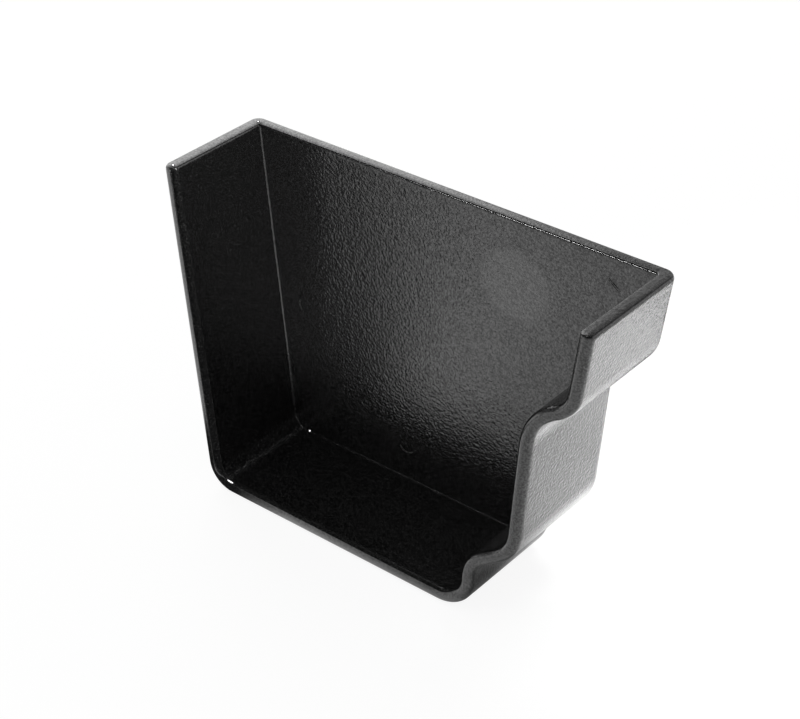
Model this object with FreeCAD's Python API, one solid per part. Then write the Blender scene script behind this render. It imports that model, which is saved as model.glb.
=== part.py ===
import FreeCAD, Part
import math
import os

V = FreeCAD.Vector

# Overall sizes of the casting, in millimetres
DEPTH = 35.0             # along the gutter, open rim to the outside of the end wall
HEIGHT = 96.8            # flat bottom to the open top
TOP_WIDTH = 130.9        # across the open top, before its edges are rounded
WALL = 3.7               # back, bottom and moulded front
END_WALL = 3.2           # plate that closes the gutter

# How far each flat of the section leans out as it rises, in degrees
BACK_LEAN = 4.6
FACE_LEAN = 5.4
NOSE_LEAN = 8.6

# Moulded front: reaches run from the back's top edge and heights from the bottom,
# each to a sharp corner that is then rounded
FOOT_REACH = 98.3
FACE_REACH = 115.7
LOWER_COVE_FOOT = 15.6
LOWER_COVE_HEAD = 25.0
UPPER_COVE_FOOT = 67.0
UPPER_COVE_HEAD = 73.0

# Roundings of the outside of the section
BACK_CORNER_RADIUS = 8.2
FOOT_RADIUS = 11.2
LOWER_COVE_RADIUS = 8.7
LOWER_SHOULDER_RADIUS = 14.0
UPPER_COVE_RADIUS = 14.5
UPPER_SHOULDER_RADIUS = 11.4

# Roundings of the casting's edges
END_EDGE_RADIUS = 3.0    # outside, where the section turns into the end wall
INSIDE_CORNER_RADIUS = 0.6
LIP_FLAT = 0.2           # flat left along the crest of a lip, between its two roundings
LIP_STEP = 0.2           # how much smaller than the rim's the roundings of the top are
RIM_RADIUS = (WALL - LIP_FLAT) / 2
TOP_RADIUS = min((END_WALL - LIP_FLAT) / 2, RIM_RADIUS - LIP_STEP)

RIM_Y = -DEPTH / 2
END_Y = DEPTH / 2
OVERRUN = 4 * WALL       # how far the raw forms pass the open top and the rim
NEAR = 1e-4


def lean(rise, degrees):
    """Sideways travel of a leaning flat over a rise."""
    return rise * math.tan(math.radians(degrees))


def section_corners():
    """Sharp corners of the outside of the section and their roundings, from the back round to the nose."""
    top = HEIGHT + OVERRUN

    def back_at(z):
        return lean(HEIGHT - z, BACK_LEAN)

    def face_at(z):
        return FACE_REACH - lean(UPPER_COVE_FOOT - z, FACE_LEAN)

    def nose_at(z):
        return TOP_WIDTH - lean(HEIGHT - z, NOSE_LEAN)

    corners = [
        (back_at(top), top, 0),
        (back_at(0), 0, BACK_CORNER_RADIUS),
        (FOOT_REACH, 0, FOOT_RADIUS),
        (FOOT_REACH, LOWER_COVE_FOOT, LOWER_COVE_RADIUS),
        (face_at(LOWER_COVE_HEAD), LOWER_COVE_HEAD, LOWER_SHOULDER_RADIUS),
        (face_at(UPPER_COVE_FOOT), UPPER_COVE_FOOT, UPPER_COVE_RADIUS),
        (nose_at(UPPER_COVE_HEAD), UPPER_COVE_HEAD, UPPER_SHOULDER_RADIUS),
        (nose_at(top), top, 0),
    ]
    points = [V(x - TOP_WIDTH / 2, 0, z) for x, z, radius in corners]
    radii = [radius for x, z, radius in corners]
    return points, radii


def corner_sides(points, i):
    """Directions of the two sides that leave a corner, to the one before and to the one after."""
    before = (points[i - 1] - points[i]).normalize()
    after = (points[(i + 1) % len(points)] - points[i]).normalize()
    return before, after


def rounding_reaches(points, radii):
    """Length of side that each rounding takes up, cut back where two would meet on one side."""
    reaches = []
    for i, radius in enumerate(radii):
        before, after = corner_sides(points, i)
        reaches.append(radius / math.tan(before.getAngle(after) / 2))
    room = []
    for i, reach in enumerate(reaches):
        following = (i + 1) % len(points)
        wanted = max(reach + reaches[following], NEAR)
        room.append(min(1, points[i].distanceToPoint(points[following]) / wanted))
    return [reach * min(room[i - 1], room[i]) for i, reach in enumerate(reaches)]


def rounded_outline(points, radii):
    """Closed wire of straight sides joined by tangent arcs."""
    reaches = rounding_reaches(points, radii)
    edges = []
    starts = []
    ends = []
    for i, reach in enumerate(reaches):
        before, after = corner_sides(points, i)
        starts.append(points[i] + before * reach)
        ends.append(points[i] + after * reach)
        if reach > 0:
            half = before.getAngle(after) / 2
            to_arc = reach * math.tan(half) * (1 / math.sin(half) - 1)
            middle = points[i] + (before + after).normalize() * to_arc
            edges.append(Part.Arc(starts[i], middle, ends[i]).toShape())
    for i, end in enumerate(ends):
        start = starts[(i + 1) % len(starts)]
        if end.distanceToPoint(start) > NEAR:
            edges.append(Part.LineSegment(end, start).toShape())
    return Part.Wire(Part.__sortEdges__(edges))


def edges_at_y(shape, y):
    """Edges in the plane at y, apart from one that closes the raw form above the open top."""
    found = []
    for edge in shape.Edges:
        box = edge.BoundBox
        in_plane = abs(box.YMin - y) < NEAR and abs(box.YMax - y) < NEAR
        if in_plane and box.ZMin < HEIGHT:
            found.append(edge)
    return found


def outside_form(section):
    """Solid form of the outside, taller than the casting, with the rim and end edges rounded."""
    form = section.extrude(V(0, DEPTH, 0))
    form.translate(V(0, RIM_Y, 0))
    form = form.makeFillet(END_EDGE_RADIUS, edges_at_y(form, END_Y))
    return form.makeFillet(RIM_RADIUS, edges_at_y(form, RIM_Y))


def inside_form(section):
    """Solid form of the hollow, passing the rim and the open top."""
    form = section.makeOffset2D(-WALL).extrude(V(0, DEPTH - END_WALL + OVERRUN, 0))
    form.translate(V(0, RIM_Y - OVERRUN, 0))
    return form.makeFillet(INSIDE_CORNER_RADIUS, edges_at_y(form, END_Y - END_WALL))


def inner_rim_edges(casting, hollow):
    """Edges of the open rim that lie on the hollow."""
    found = []
    for edge in edges_at_y(casting, RIM_Y):
        middle = edge.valueAt((edge.FirstParameter + edge.LastParameter) / 2)
        if hollow.distToShape(Part.Vertex(middle))[0] < NEAR:
            found.append(edge)
    return found


def open_top(casting):
    """The casting cut off level at its height, with the edge of the cut rounded all the way round."""
    block = Part.makeBox(3 * TOP_WIDTH, 3 * DEPTH, 3 * OVERRUN)
    block.translate(V(-1.5 * TOP_WIDTH, -1.5 * DEPTH, HEIGHT))
    casting = casting.cut(block)
    edges = [edge for edge in casting.Edges if edge.BoundBox.ZMin > HEIGHT - NEAR]
    return casting.makeFillet(TOP_RADIUS, edges)


def end_cap():
    """The whole casting: moulded trough, end wall and full-round lips."""
    section = Part.Face(rounded_outline(*section_corners()))
    hollow = inside_form(section)
    casting = outside_form(section).cut(hollow)
    casting = casting.makeFillet(RIM_RADIUS, inner_rim_edges(casting, hollow))
    return open_top(casting).Solids[0]


os.makedirs("parts", exist_ok=True)
end_cap().exportStep("parts/end_cap.step")
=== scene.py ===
# %% [markdown]
# A gutter end cap is a short cast trough with one end closed. It slips over the end of a moulded
# gutter, so that the water stays in and the end looks finished. The shape was built first, at its
# real size. This lesson gives it its looks: the black coat, the small marks in that coat, and a
# table, a few lamps and a camera to see it by.
#
# We start by loading the shape and keeping its box, because nothing that we add may change its size.

# %% Load the casting
import math

import bpy
from mathutils import Matrix, Vector


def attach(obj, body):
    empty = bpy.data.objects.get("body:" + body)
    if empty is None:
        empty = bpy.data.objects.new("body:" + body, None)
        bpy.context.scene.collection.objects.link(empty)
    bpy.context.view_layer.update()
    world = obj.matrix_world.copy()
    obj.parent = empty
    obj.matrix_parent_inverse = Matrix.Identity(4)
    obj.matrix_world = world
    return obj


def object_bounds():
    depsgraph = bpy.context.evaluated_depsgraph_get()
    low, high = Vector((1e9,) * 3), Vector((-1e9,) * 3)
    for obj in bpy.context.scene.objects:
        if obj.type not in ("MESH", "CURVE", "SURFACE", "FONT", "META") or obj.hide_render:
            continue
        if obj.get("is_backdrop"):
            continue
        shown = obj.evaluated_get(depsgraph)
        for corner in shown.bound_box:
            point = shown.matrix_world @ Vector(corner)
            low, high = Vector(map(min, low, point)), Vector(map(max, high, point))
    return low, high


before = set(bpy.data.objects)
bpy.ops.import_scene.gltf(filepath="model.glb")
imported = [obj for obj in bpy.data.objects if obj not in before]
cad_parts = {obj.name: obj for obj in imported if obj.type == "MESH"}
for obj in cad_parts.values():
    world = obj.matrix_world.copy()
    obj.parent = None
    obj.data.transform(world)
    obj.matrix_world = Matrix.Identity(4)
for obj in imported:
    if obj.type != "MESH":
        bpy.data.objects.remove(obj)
cad_low, cad_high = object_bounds()
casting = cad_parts["end_cap"]
MM = 0.001
print("casting in mm:", [round((high - low) / MM, 1) for low, high in zip(cad_low, cad_high)])

# %% [markdown]
# A finish in Blender is a net of nodes. Written link by link it is hard to read, so one small class
# wraps a node's output. Outputs can then be added, subtracted and multiplied as if they were numbers,
# and each sum adds a Math node behind the scenes. Any other node comes from the method `node`.

# %% A socket that can be used in sums


class Wire:
    """One output of a node. Arithmetic on wires adds Math nodes to the same tree."""

    def __init__(self, tree, socket):
        self.tree = tree
        self.socket = socket

    @staticmethod
    def node(tree, kind, settings=None, inputs=None, output=0):
        """Adds a node: its settings first, then the values or links of its sockets."""
        made = tree.nodes.new(kind)
        for name, value in (settings or {}).items():
            if name == "stops":
                ramp = made.color_ramp.elements
                while len(ramp) < len(value):
                    ramp.new(1)
                for element, (place, shade) in zip(ramp, value):
                    element.position = place
                    element.color = (shade, shade, shade, 1)
            else:
                setattr(made, name, value)
        for name, value in (inputs or {}).items():
            if isinstance(value, Wire):
                tree.links.new(value.socket, made.inputs[name])
            else:
                made.inputs[name].default_value = value
        return Wire(tree, made.outputs[output])

    def math(self, operation, first, second):
        return Wire.node(self.tree, "ShaderNodeMath", {"operation": operation}, {0: first, 1: second})

    def __add__(self, other):
        return self.math("ADD", self, other)

    __radd__ = __add__

    def __sub__(self, other):
        return self.math("SUBTRACT", self, other)

    def __rsub__(self, other):
        return self.math("SUBTRACT", other, self)

    def __mul__(self, other):
        return self.math("MULTIPLY", self, other)

    __rmul__ = __mul__

    def above(self, other):
        """The larger of two values."""
        return self.math("MAXIMUM", self, other)

    def eased(self, start, end):
        """0 up to start, 1 from end on, and a soft step between them."""
        inputs = {"Value": self, "From Min": start, "From Max": end}
        return Wire.node(self.tree, "ShaderNodeMapRange", {"interpolation_type": "SMOOTHSTEP"}, inputs)


def new_material(name):
    """An empty material, its tree and the surface socket of its output."""
    material = bpy.data.materials.new(name)
    material.use_nodes = True
    tree = material.node_tree
    tree.nodes.clear()
    surface = tree.nodes.new("ShaderNodeOutputMaterial").inputs["Surface"]
    return material, tree, surface


print("wires ready")

# %% [markdown]
# The finish is a black powder coat: paint that is sprayed on as dry dust and melted in an oven. It
# flows only a little before it sets, so it keeps a leathery skin of bumps about a millimetre across.
# We see them best where a reflection ends, as on the inside of the end wall. They are too many and
# too shallow to model one by one, so a noise pattern drives a Bump node. At the lips the molten coat
# runs thin and smooth, so the bumps fade there.

# %% Grain of the coat

GRAIN_SIZE = 0.7 * MM
GRAIN_HEIGHT = 0.15 * MM
GRAIN_DETAIL = 1.5
LIP_GRAIN = 0.2
LIP_DEPTH = 1.6 * MM
LIP_FADE = 1.0 * MM


def axis(tree, vector, name):
    """One coordinate of a place or a direction: X, Y or Z."""
    return Wire.node(tree, "ShaderNodeSeparateXYZ", inputs={"Vector": vector}, output=name)


def cloud(tree, place, size, detail):
    """A soft random pattern, from 0 to 1, with spots of about the given size."""
    inputs = {"Vector": place, "Scale": 1 / size, "Detail": detail, "Roughness": 0.5}
    return Wire.node(tree, "ShaderNodeTexNoise", inputs=inputs, output="Fac")


def lips(tree, place):
    """1 on the lips of the open top and of the rim, 0 on the walls."""
    up = axis(tree, place, "Z")
    along = axis(tree, place, "Y")
    top = up.eased(cad_high[2] - LIP_DEPTH - LIP_FADE, cad_high[2] - LIP_DEPTH + LIP_FADE)
    wall = along.eased(cad_low[1] + LIP_DEPTH - LIP_FADE, cad_low[1] + LIP_DEPTH + LIP_FADE)
    return top.above(1 - wall)


def grain(tree, place):
    """Height of the coat's skin of bumps, in metres."""
    strength = 1 - lips(tree, place) * (1 - LIP_GRAIN)
    return cloud(tree, place, GRAIN_SIZE, GRAIN_DETAIL) * strength * GRAIN_HEIGHT


print("grain", GRAIN_SIZE / MM, "mm wide and up to", GRAIN_HEIGHT / MM, "mm high")

# %% [markdown]
# No coat is the same all over. Ours has a pale round bloom on the inside of the end wall, a short
# nick near the nose, as from a knock, and a dull patch low in the inner corner at the back, a place that
# the spray hardly reaches. Each one is a soft spot around a place: we move and turn the coordinates so
# that the spot becomes a ball of radius 1, and measure the distance to its middle. A stretched ball
# makes a narrow nick as well as a round bloom.

# %% Spots in the coat

END_WALL = 3.2 * MM
WALL_INSIDE = cad_high[1] - END_WALL
BLOOM_PLACE = (21.5 * MM, WALL_INSIDE, 78.3 * MM)
BLOOM_SIZE = (11.5 * MM, 2 * MM, 10.5 * MM)
BLOOM_CORE = 0.8
NICK_PLACE = (49.7 * MM, WALL_INSIDE, 89.0 * MM)
NICK_SIZE = (3.4 * MM, 1 * MM, 0.5 * MM)
NICK_TURN = math.radians(36)
NICK_DEPTH = 0.2 * MM
CORNER_PLACE = (-55.6 * MM, WALL_INSIDE, 18 * MM)
CORNER_SIZE = (5 * MM, 3 * MM, 26 * MM)
CORNER_ROUGHNESS = 0.38


def spot(tree, place, middle, size, turn=0.0, core=0.0):
    """1 in the core of an oval spot, given as a share of its size, and 0 from its edge on."""
    inputs = {"Vector": place, "Location": middle, "Rotation": (0, turn, 0), "Scale": size}
    local = Wire.node(tree, "ShaderNodeMapping", {"vector_type": "TEXTURE"}, inputs)
    distance = Wire.node(
        tree, "ShaderNodeVectorMath", {"operation": "LENGTH"}, {0: local}, output="Value"
    )
    return 1 - distance.eased(core, 1.0)


print("bloom", 2 * BLOOM_SIZE[0] / MM, "mm across, nick", 2 * NICK_SIZE[0] / MM, "mm long")

# %% [markdown]
# The edges of a casting are often dressed with a file before coating, so that nobody is cut by them. A
# few strokes can leave the crest of a lip nearly flat, or slope a rim to one side. The top lips of our
# cap have one even tone from end to end, as flats have, where a round lip would show every tone in a
# row. The flats would be a millimetre or two wide. The casting's shape is left alone: we only turn its
# shading normals by a share towards the way that each flat would face.

# %% Dressed lips

CREST_SHARE = 0.9
CREST_START = 0.9 * MM
CREST_END = 0.35 * MM
RIM_START = 1.9 * MM
RIM_END = 1.4 * MM
BOTTOM_SHARE = 0.6
BOTTOM_AIM = (0, -0.9, -0.44)
BOTTOM_START = 5.0 * MM
BOTTOM_END = 3.6 * MM
UNDER_START, UNDER_END = -0.8, -0.2
OVER_START, OVER_END = 0.55, 0.75
BACK_SHARE = 0.85
BACK_OUTER = (-0.75, -0.66, 0)
BACK_INNER = (0.3, -0.6, 0.74)
BACK_SLOPE = math.tan(math.radians(4.6))
BACK_FOOT = -57.66 * MM
BACK_START = -48 * MM
BACK_END = -54 * MM
BEND_START, BEND_END = 4 * MM, 9 * MM
OUTER_EDGE, INNER_EDGE = 1.6 * MM, 3.4 * MM


def turned(tree, normal, share, aim):
    """A normal that is turned by a share towards a direction."""
    inputs = {0: share, 4: normal, 5: aim}
    return Wire.node(tree, "ShaderNodeMix", {"data_type": "VECTOR"}, inputs, output=1)


def dressed_normal(tree, place):
    """The surface normal, turned where the lips were dressed: upright on top, sloping on the rim."""
    across = axis(tree, place, "X")
    along = axis(tree, place, "Y")
    up = axis(tree, place, "Z")
    crest = up.eased(cad_high[2] - CREST_START, cad_high[2] - CREST_END)
    rim = 1 - along.eased(cad_low[1] + RIM_END, cad_low[1] + RIM_START)
    normal = Wire.node(tree, "ShaderNodeNewGeometry", output="Normal")
    facing = axis(tree, normal, "Z")
    bottom = rim * (1 - up.eased(BOTTOM_END, BOTTOM_START)) * facing.eased(UNDER_START, UNDER_END)
    bottom = bottom * (1 - facing.eased(OVER_START, OVER_END))
    inwards = (across + up * BACK_SLOPE - BACK_FOOT).eased(OUTER_EDGE, INNER_EDGE)
    back = rim * (1 - across.eased(BACK_END, BACK_START)) * up.eased(BEND_START, BEND_END)
    normal = turned(tree, normal, back * (1 - inwards) * BACK_SHARE, BACK_OUTER)
    normal = turned(tree, normal, back * inwards * BACK_SHARE, BACK_INNER)
    normal = turned(tree, normal, bottom * BOTTOM_SHARE, BOTTOM_AIM)
    normal = turned(tree, normal, crest * CREST_SHARE, (0, 0, 1))
    return Wire.node(tree, "ShaderNodeVectorMath", {"operation": "NORMALIZE"}, {0: normal})


print("crest dressed", CREST_START / MM, "mm deep, rim", RIM_START / MM, "mm")

# %% [markdown]
# In the oven melted coat can draw together at corners, in small beads that are smoother than the skin
# round them. Four corners of our cap shine as white points, so each gets a bead. A bead mirrors a lamp
# where its surface faces half-way between lamp and camera, so we need both places already. We turn the
# normals of the whole bead that way, so the points show from the camera's side and not from others.

# %% Beads at the corners

CAMERA_PLACE = Vector((261.95, -315.3, 325.2)) * MM
OVERHEAD_PLACE = Vector((0, -360, 950)) * MM
BEADS = [
    (Vector((-62.75, -16.3, 96.66)) * MM, Vector((0.5, 0.5, 0.5)) * MM),
    (Vector((-62.4, 14.58, 96.7)) * MM, Vector((0.5, 0.5, 0.5)) * MM),
    (Vector((-50.6, -16.7, 3.5)) * MM, Vector((2.2, 0.4, 0.6)) * MM),
    (Vector((-49.1, 14.15, 3.95)) * MM, Vector((0.6, 0.5, 0.6)) * MM),
]
BEAD_CORE = 0.4
BEAD_GLOSS = 0.5


def beaded(tree, place, normal):
    """The normal with smooth beads that face half-way between lamp and camera, and where they are."""
    found = 0
    for middle, size in BEADS:
        bead = spot(tree, place, middle, size, core=BEAD_CORE)
        aim = (CAMERA_PLACE - middle).normalized() + (OVERHEAD_PLACE - middle).normalized()
        normal = turned(tree, normal, bead, aim.normalized())
        found = bead + found
    return Wire.node(tree, "ShaderNodeVectorMath", {"operation": "NORMALIZE"}, {0: normal}), found


print(len(BEADS), "beads")

# %% [markdown]
# Now the coat itself. One Principled shader is enough: nearly black, with the gloss of a lacquer.
# Fine pale flecks and clouds of duller gloss keep it from looking like plastic, and the bloom adds a
# little chalk. Specks of half metal stand for the uneven thickness of the skin, which mirrors more
# in one place than in the next. All patterns read Object coordinates, so they stay in place on the
# casting.

# %% Powder coat

COAT_BLACK = (0.003, 0.003, 0.003, 1)
COAT_FLECK = (0.048, 0.048, 0.048, 1)
COAT_CHALK = (0.05, 0.05, 0.05, 1)
COAT_IOR = 1.95
SPECK_METAL = 0.5
GLOSS_ROUGHNESS = 0.17
DULL_ROUGHNESS = 0.25
FLECK_SIZE = 0.4 * MM
SPECK_SIZE = 0.5 * MM
CLOUD_SIZE = 5.0 * MM
FLECK_DETAIL = 1.0
CLOUD_DETAIL = 2.0
FLECK_RANGE = (0.4, 0.75)
SPECK_RANGE = (0.3, 0.7)


def blend(tree, share, first, second):
    """A colour between two colours."""
    inputs = {0: share, 6: first, 7: second}
    return Wire.node(tree, "ShaderNodeMix", {"data_type": "RGBA"}, inputs, output=2)


def powder_coat():
    """The black coat, with its grain, flecks, dull clouds, spots, dressed lips and beads."""
    material, tree, surface = new_material("powder_coat")
    place = Wire.node(tree, "ShaderNodeTexCoord", output="Object")
    flecks = cloud(tree, place, FLECK_SIZE, FLECK_DETAIL).eased(*FLECK_RANGE)
    bloom = spot(tree, place, BLOOM_PLACE, BLOOM_SIZE, core=BLOOM_CORE)
    nick = spot(tree, place, NICK_PLACE, NICK_SIZE, NICK_TURN)
    corner = spot(tree, place, CORNER_PLACE, CORNER_SIZE)
    colour = blend(tree, flecks, COAT_BLACK, COAT_FLECK)
    colour = blend(tree, bloom, colour, COAT_CHALK)
    dull = cloud(tree, place, CLOUD_SIZE, CLOUD_DETAIL)
    roughness = GLOSS_ROUGHNESS + dull * (DULL_ROUGHNESS - GLOSS_ROUGHNESS)
    normal, beads = beaded(tree, place, dressed_normal(tree, place))
    roughness = roughness.above(corner * CORNER_ROUGHNESS) * (1 - BEAD_GLOSS * beads)
    specks = cloud(tree, place, SPECK_SIZE, FLECK_DETAIL).eased(*SPECK_RANGE)
    height = grain(tree, place) * (1 - beads) - nick * NICK_DEPTH
    inputs = {"Height": height, "Strength": 1.0, "Distance": 1.0, "Normal": normal}
    bumps = Wire.node(tree, "ShaderNodeBump", inputs=inputs)
    inputs = {"Base Color": colour, "Roughness": roughness, "IOR": COAT_IOR, "Normal": bumps}
    inputs["Metallic"] = specks * SPECK_METAL
    shader = Wire.node(tree, "ShaderNodeBsdfPrincipled", inputs=inputs)
    tree.links.new(shader.socket, surface)
    return material


coat = powder_coat()
for slot in casting.material_slots:
    slot.material = coat
print("coated", casting.name, "with", len(coat.node_tree.nodes), "nodes")

# %% [markdown]
# Two thin curls stand out of the end wall's inside, one near the back and one near the floor. A bristle
# or a thread that settles on a casting before the powder does can leave such a raised hair under the
# coat. We model each one as a hand would: draw a small circle, sweep it round an arc, pinch the ends,
# close them, and sink it all into the wall so that only its back shows.

# %% Curls under the coat

# The grey of the curls is a painted sheen: it stands for the highlight of the glossy coat along each
# curl.
CURL_SHEEN_GREY = (0.09, 0.09, 0.09, 1)
CURL_ROUGHNESS = 0.5
CURL_RADIUS = 0.28 * MM
CURL_SUNK = 0.1 * MM
CURL_SIDES = 10
CURL_STEPS = 14
CURL_ENDS = (0.3, 0.65, 0.9)
RING_REACH = 1.01 * CURL_RADIUS


def curl_sheen_finish():
    """Grey painted sheen for the curls: it stands for the glossy coat's highlight on them, mottled with
    black.
    """
    material, tree, surface = new_material("curl_sheen")
    place = Wire.node(tree, "ShaderNodeTexCoord", output="Object")
    sheen_mottle = cloud(tree, place, FLECK_SIZE, FLECK_DETAIL).eased(*SPECK_RANGE)
    colour = blend(tree, sheen_mottle, COAT_BLACK, CURL_SHEEN_GREY)
    inputs = {"Base Color": colour, "Roughness": CURL_ROUGHNESS}
    shader = Wire.node(tree, "ShaderNodeBsdfPrincipled", inputs=inputs)
    tree.links.new(shader.socket, surface)
    return material


def pick_ring(piece, middle):
    """Selects the ring of points round a place on the curl's centre line, and goes to edit mode."""
    bpy.ops.object.mode_set(mode="EDIT")
    bpy.ops.mesh.select_mode(type="VERT")
    bpy.ops.mesh.select_all(action="DESELECT")
    bpy.ops.object.mode_set(mode="OBJECT")
    for vertex in piece.data.vertices:
        vertex.select = (piece.matrix_world @ vertex.co - middle).length < RING_REACH
    bpy.ops.object.mode_set(mode="EDIT")


def curl(name, across, up, bend, start, sweep):
    """A raised hair on the end wall's inside: an arc of a small round section with pinched ends."""
    centre = Vector((across, WALL_INSIDE + CURL_SUNK, up))
    rings = []
    for step in range(CURL_STEPS + 1):
        angle = math.radians(start + sweep * step / CURL_STEPS)
        rings.append(centre + bend * Vector((math.cos(angle), 0, math.sin(angle))))
    bpy.ops.object.select_all(action="DESELECT")
    bpy.ops.mesh.primitive_circle_add(
        vertices=CURL_SIDES, radius=CURL_RADIUS, location=rings[0], rotation=(0, -math.radians(start), 0)
    )
    piece = bpy.context.object
    piece.name = name
    bpy.ops.object.mode_set(mode="EDIT")
    bpy.ops.mesh.select_all(action="SELECT")
    bpy.ops.mesh.spin(steps=CURL_STEPS, angle=math.radians(sweep), center=centre, axis=(0, 1, 0))
    for step, share in enumerate(CURL_ENDS):
        for ring in (rings[step], rings[-1 - step]):
            pick_ring(piece, ring)
            bpy.ops.transform.resize(value=(share, share, share), center_override=ring)
    for ring in (rings[0], rings[-1]):
        pick_ring(piece, ring)
        bpy.ops.mesh.edge_face_add()
    bpy.ops.mesh.select_all(action="SELECT")
    bpy.ops.mesh.normals_make_consistent(inside=False)
    bpy.ops.object.mode_set(mode="OBJECT")
    smooth = piece.modifiers.new("smooth", "SUBSURF")
    smooth.levels = 1
    bpy.ops.object.modifier_apply(modifier=smooth.name)
    bpy.ops.object.transform_apply(location=True, rotation=True, scale=True)
    bpy.ops.object.shade_smooth()
    piece.data.materials.append(curl_sheen)
    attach(piece, "root")
    return piece


curl_sheen = curl_sheen_finish()
curls = [
    curl("curl_back", -47.93 * MM, 45.73 * MM, 2.6 * MM, 144, 97),
    curl("curl_floor", -13.5 * MM, 15.2 * MM, 2.72 * MM, 205, 114),
]
for piece in curls:
    points = [vertex.co / MM for vertex in piece.data.vertices]
    low = [round(min(point[axis] for point in points), 2) for axis in range(3)]
    high = [round(max(point[axis] for point in points), 2) for axis in range(3)]
    print(piece.name, "in mm from", low, "to", high)

# %% [markdown]
# The cap stands on a light table: a white sheet that glows by itself, as used for pictures of small
# goods. To the camera and to every mirror on the coat it is a white ground, and the little light that
# it takes from the lamps leaves the cap's soft shadow on it. Light Path tells the camera's rays and
# the mirrored ones apart from the rest, so the glow lights nothing else.
#
# A black, glossy thing shows mostly what stands round it. The end wall mirrors the table in front of
# the cap, so a painted shadow there, a dark strip with soft edges, gives the wall its dark side and its
# bright middle. The foot mirrors a painted shade under the overhang, and the moulded front mirrors a
# painted pool of light behind. A colour ramp and two soft spots paint this shade and light onto the
# table, for mirrored rays only.

# %% Light table

TABLE_SIZE = 8.0
TABLE_DROP = 0.05 * MM
TABLE_WHITE = 0.85
SHADOW_SHARE = 0.2
GLOW_SEEN = 0.9
GLOW_MIRRORED = 0.6
# Painted shade under the overhang, seen only in mirrors.
OVERHANG_PLACE = (38 * MM, -8 * MM, 0)
OVERHANG_SIZE = (22 * MM, 20 * MM, 1)
OVERHANG_SHADE = 0.7
# Painted pool of light on the table behind the moulded front, seen only in mirrors.
LIGHT_POOL_PLACE = (50 * MM, 35 * MM, 0)
LIGHT_POOL_SIZE = (22 * MM, 32 * MM, 1)
LIGHT_POOL_GLOW = 1.0
SPOT_CORE = 0.3
# Painted shadow: a dark strip across the table in front of the cap, seen only in mirrors.
SHADOW_STRIP_ACROSS, SHADOW_STRIP_ALONG = 0.76, -0.65
SHADOW_STRIP_START, SHADOW_STRIP_END = -80 * MM, 80 * MM
SHADOW_STRIP_STOPS = [
    (0.09, 1.0), (0.17, 0.04), (0.34, 0.04), (0.43, 1.2), (0.51, 1.12), (0.63, 0.86), (0.88, 0.72)
]
WHITE = (1, 1, 1, 1)


def seen_rays(tree):
    """1 for rays that the camera sends out."""
    return Wire.node(tree, "ShaderNodeLightPath", output="Is Camera Ray")


def mirrored_rays(tree):
    """1 for rays that a mirror-like or clear surface sends out."""
    glossy = Wire.node(tree, "ShaderNodeLightPath", output="Is Glossy Ray")
    through = Wire.node(tree, "ShaderNodeLightPath", output="Is Transmission Ray")
    return glossy.above(through)


def light_table():
    """A white sheet that takes shadows and glows, with painted shade and a painted pool of light for
    mirrors.
    """
    material, tree, surface = new_material("light_table")
    place = Wire.node(tree, "ShaderNodeTexCoord", output="Object")
    across = axis(tree, place, "X")
    along = axis(tree, place, "Y")
    reach = SHADOW_STRIP_ACROSS * across + SHADOW_STRIP_ALONG * along - SHADOW_STRIP_START
    reach = reach * (1 / (SHADOW_STRIP_END - SHADOW_STRIP_START))
    # painted shadow strip on the table, for mirrored rays
    painted_shadow_strip = Wire.node(tree, "ShaderNodeValToRGB", {"stops": SHADOW_STRIP_STOPS}, {"Fac": reach})
    # painted shade under the overhang, for mirrored rays
    painted_overhang_shade = spot(tree, place, OVERHANG_PLACE, OVERHANG_SIZE, core=SPOT_CORE)
    painted_shade = painted_shadow_strip * (1 - OVERHANG_SHADE * painted_overhang_shade)
    seen = seen_rays(tree)
    mirrored = mirrored_rays(tree)
    shade = TABLE_WHITE * (1 - seen * (1 - SHADOW_SHARE)) * (1 - mirrored * (1 - painted_shade))
    sheet = Wire.node(tree, "ShaderNodeBsdfDiffuse", inputs={"Color": shade})
    # painted pool of light, glowing for mirrored rays only
    painted_light_pool = spot(tree, place, LIGHT_POOL_PLACE, LIGHT_POOL_SIZE, core=SPOT_CORE)
    strength = seen * GLOW_SEEN + mirrored * (painted_shade * GLOW_MIRRORED + painted_light_pool * LIGHT_POOL_GLOW)
    glow = Wire.node(tree, "ShaderNodeEmission", inputs={"Color": WHITE, "Strength": strength})
    both = Wire.node(tree, "ShaderNodeAddShader", inputs={0: sheet, 1: glow})
    tree.links.new(both.socket, surface)
    return material


bpy.ops.object.select_all(action="DESELECT")
bpy.ops.mesh.primitive_plane_add(size=TABLE_SIZE, location=(0, 0, -TABLE_DROP))
table = bpy.context.object
table.name = "table"
table.data.materials.append(light_table())
table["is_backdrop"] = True
print("table", TABLE_SIZE, "m wide")

# %% [markdown]
# Behind the table hangs a white backdrop, and above it the room is dim. On the camera's side the room
# is darker still. Lips and edges mirror these changes as bright and dark lines, which is what makes a
# black casting readable. Only the camera and mirrored rays see the backdrop: all other rays get one
# soft, even level from everywhere.

# %% Backdrop and dim ceiling

WORLD_SOFT = 0.42
BACKDROP_TOP = 0.45
CEILING_START = 0.6
CEILING = 0.15
FRONT_LEVEL = 0.2
FRONT_TOP = 0.1
FRONT_START = 0.3
FRONT_CEILING = 0.03
SIDE_EDGE = 0.1

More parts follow.
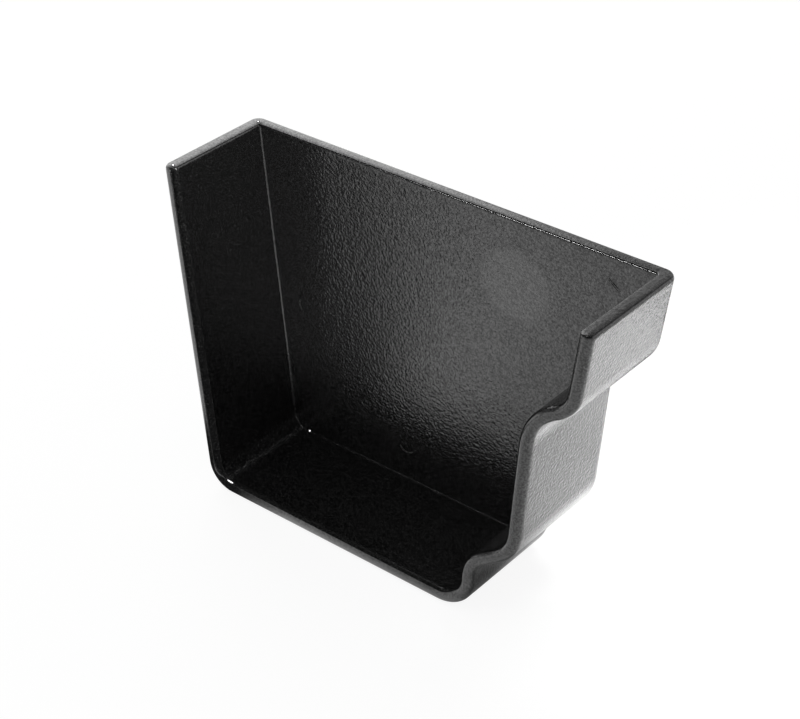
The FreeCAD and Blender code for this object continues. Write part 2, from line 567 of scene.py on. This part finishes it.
world = bpy.data.worlds.new("studio")
bpy.context.scene.world = world
world.use_nodes = True
tree = world.node_tree
tree.nodes.clear()
direction = Wire.node(tree, "ShaderNodeTexCoord", output="Generated")
up = axis(tree, direction, "Z")
behind = axis(tree, direction, "Y")
far = 1 - (1 - CEILING) * up.eased(BACKDROP_TOP, CEILING_START)
near = FRONT_LEVEL - (FRONT_LEVEL - FRONT_CEILING) * up.eased(FRONT_TOP, FRONT_START)
side = behind.eased(-SIDE_EDGE, SIDE_EDGE)
shade = side * far + (1 - side) * near
shown = seen_rays(tree).above(mirrored_rays(tree))
strength = shown * shade + (1 - shown) * WORLD_SOFT
background = Wire.node(tree, "ShaderNodeBackground", inputs={"Color": WHITE, "Strength": strength})
tree.links.new(background.socket, tree.nodes.new("ShaderNodeOutputWorld").inputs["Surface"])
print("backdrop up to", round(math.degrees(math.asin(BACKDROP_TOP))), "degrees")

# %% [markdown]
# Four soft boxes do the rest. The table lamp shines straight down beside the moulded front and makes
# a bright place on the table for that front to mirror. The key lamp is a narrow beam along the top of
# the end wall, where it picks out the bumps on the inner edge as a row of dashes. The small one
# overhead gives the beads their points and the cap its shadow. The large panel behind lies where the
# dressed crests of the top lips mirror it, so they turn pale.

# %% Lamps


def softbox(name, place, aim, size, power, spread=180):
    """A square soft lamp at a place, turned towards a point."""
    lamp = bpy.data.lights.new(name, "AREA")
    lamp.shape = "SQUARE"
    lamp.size = size
    lamp.energy = power
    lamp.spread = math.radians(spread)
    holder = bpy.data.objects.new(name, lamp)
    bpy.context.scene.collection.objects.link(holder)
    holder.location = place
    holder.rotation_mode = "QUATERNION"
    holder.rotation_quaternion = (Vector(aim) - Vector(place)).to_track_quat("-Z", "Y")
    return holder


softbox("table_lamp", (0.12, 0.10, 0.28), (0.12, 0.10, 0.0), 0.08, 0.17, 55)
softbox("key_lamp", (-0.37, -0.66, 0.41), (0.035, 0.014, 0.1), 0.12, 0.006, 7)
softbox("overhead", OVERHEAD_PLACE, (0, 0, 0.05), 0.08, 0.5)
softbox("back_panel", (-0.75, 0.50, 0.68), (0, 0, 0.08), 0.7, 2.7)

# %% [markdown]
# The camera looks down into the open side from the front right, from about half a metre away and a
# third of a right angle above the table. A long lens keeps the straight edges nearly parallel. Its
# place, turn and lens were fitted to the edges of the casting, so that render and photo line up.

# %% Camera

CAMERA_AZIMUTH = 40.08
CAMERA_ELEVATION = 33.35
CAMERA_ROLL = -1.08
CAMERA_LENS = 88.25
CAMERA_SENSOR = 36
CAMERA_NEAR = 10 * MM
camera_data = bpy.data.cameras.new("camera")
camera_data.lens = CAMERA_LENS
camera_data.sensor_width = CAMERA_SENSOR
camera_data.clip_start = CAMERA_NEAR
camera = bpy.data.objects.new("camera", camera_data)
bpy.context.scene.collection.objects.link(camera)
turn = Matrix.Rotation(math.radians(CAMERA_AZIMUTH), 4, "Z")
tilt = Matrix.Rotation(math.radians(90 - CAMERA_ELEVATION), 4, "X")
roll = Matrix.Rotation(math.radians(CAMERA_ROLL), 4, "Z")
camera.matrix_world = Matrix.Translation(CAMERA_PLACE) @ turn @ tilt @ roll
bpy.context.scene.camera = camera
bpy.context.scene.view_settings.view_transform = "Standard"
print("camera", round(CAMERA_PLACE.length, 3), "m from the middle of the bottom")

# %% [markdown]
# Last, we measure the box again. The curls stay inside the hollow and nothing else was added, so the
# box of the finished model has to be that of the casting, and the last line prints how far it grew.

# %% Sizes

new_low, new_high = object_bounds()
growth = (new_high - new_low) - (cad_high - cad_low)
print("box grew by", [round(value / MM, 3) for value in growth], "mm")
